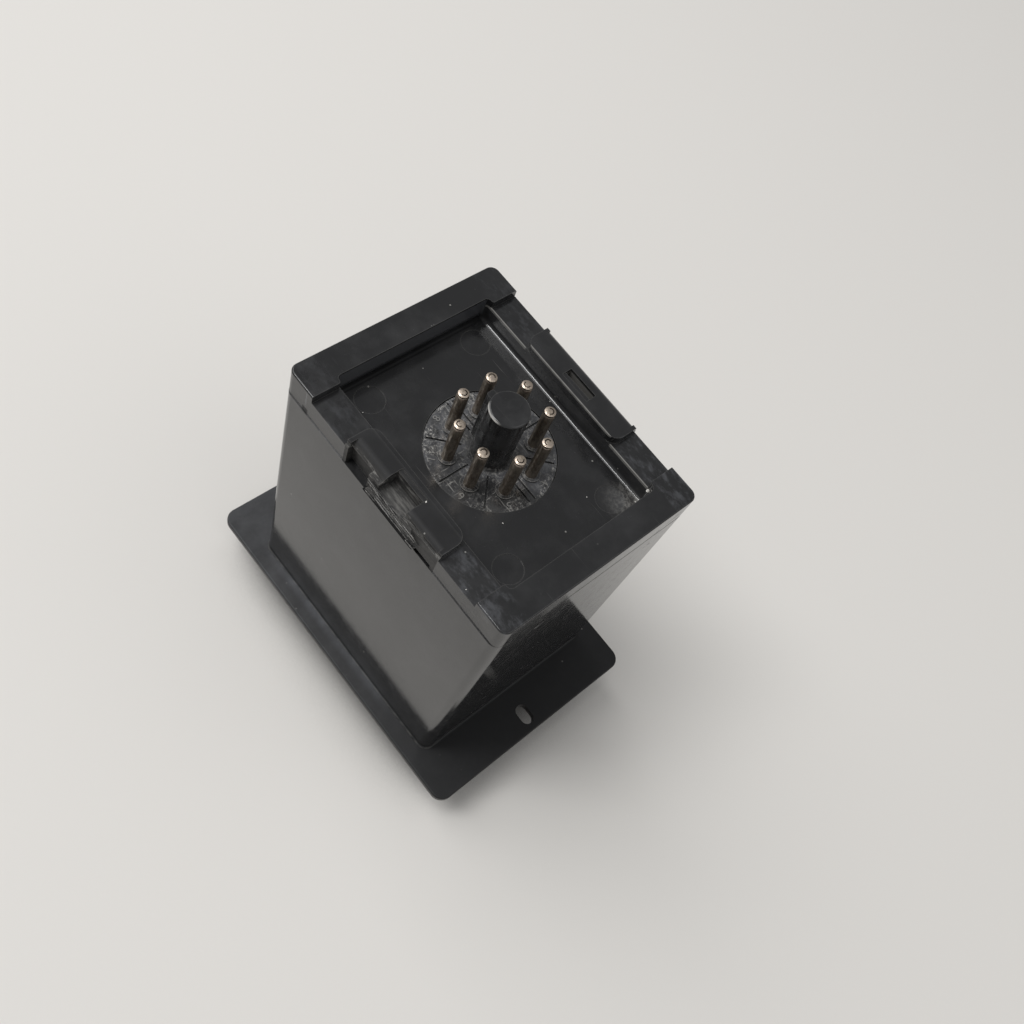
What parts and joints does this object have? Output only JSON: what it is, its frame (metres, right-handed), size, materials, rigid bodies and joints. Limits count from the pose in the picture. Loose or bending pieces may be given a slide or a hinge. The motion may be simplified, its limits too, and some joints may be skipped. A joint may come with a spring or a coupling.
{
  "type": "plug-in timer relay",
  "caption": "Panel-mounting timer relay: black flanged case, recessed rear cap with keyed round pin plug, one torn clip seat, and a front setting knob.",
  "frame": {"origin": "centre of the flange's back face, midway between the two slots", "axes": "+Z out along the plug pins, +X along the case's long side away from the key, +Y across the case"},
  "size_m": [0.0854, 0.0582, 0.096],
  "materials": {
    "case_black": "satin black moulding, scuffed",
    "base_black": "dusty black moulding",
    "knob_black": "matt black moulding",
    "knob_cap": "grey cap with a pointer",
    "dial_plate": "light grey printed plate",
    "pin_metal": "tarnished plated brass with soldered tips",
    "brass": "bare brass",
    "steel": "zinc plated",
    "phenolic": "brown laminate",
    "nylon": "natural nylon",
    "green_lens": "clear green",
    "red_lens": "clear red",
    "diode": "clear resin",
    "board": "green laminate",
    "core_steel": "varnished laminations",
    "winding": "wound copper under tape",
    "relay_block": "blue moulding",
    "sleeve_blue": "dark blue sleeve",
    "film_box": "yellow box",
    "ceramic_blue": "blue dipped disc",
    "wire_pvc": "red insulation"
  },
  "bodies": {
    "housing": {"case": "case_black", "rear_cap": "case_black", "plug_base": "base_black", "contact_pin_1": "pin_metal", "contact_pin_2": "pin_metal", "contact_pin_3": "pin_metal", "contact_pin_4": "pin_metal", "contact_pin_5": "pin_metal", "contact_pin_6": "pin_metal", "contact_pin_7": "pin_metal", "contact_pin_8": "pin_metal", "front_panel": "case_black", "dial_plate": "dial_plate", "potentiometer_body": "steel", "potentiometer_track": "phenolic", "potentiometer_nut": "brass", "lock_washer": "steel", "power_lamp_lens": "green_lens", "output_lamp_lens": "red_lens", "power_lamp_diode": "diode", "output_lamp_diode": "diode", "front_board": "board", "board_screws": "steel", "board_link": "nylon", "main_board": "board", "transformer_core": "core_steel", "transformer_coil": "winding", "output_relay": "relay_block", "smoothing_capacitor": "sleeve_blue", "timing_capacitor": "film_box", "timer_chip": "base_black", "rectifier": "base_black", "driver_transistor": "base_black", "surge_absorber": "ceramic_blue", "lead_wire_1": "wire_pvc", "lead_wire_2": "wire_pvc", "lead_wire_3": "wire_pvc", "lead_wire_4": "wire_pvc", "lead_wire_5": "wire_pvc", "lead_wire_6": "wire_pvc", "lead_wire_7": "wire_pvc", "lead_wire_8": "wire_pvc"},
    "dial": {"setting_knob": "knob_black", "knob_cap": "knob_cap", "potentiometer_wiper": "nylon", "potentiometer_shaft": "brass"}
  },
  "joints": [
    {"name": "knob_turn", "type": "hinge", "parent": "housing", "child": "dial", "pos_m": [0, 0, -0.008], "axis": [0, 0, 1], "range_deg": [0, 270]}
  ]
}
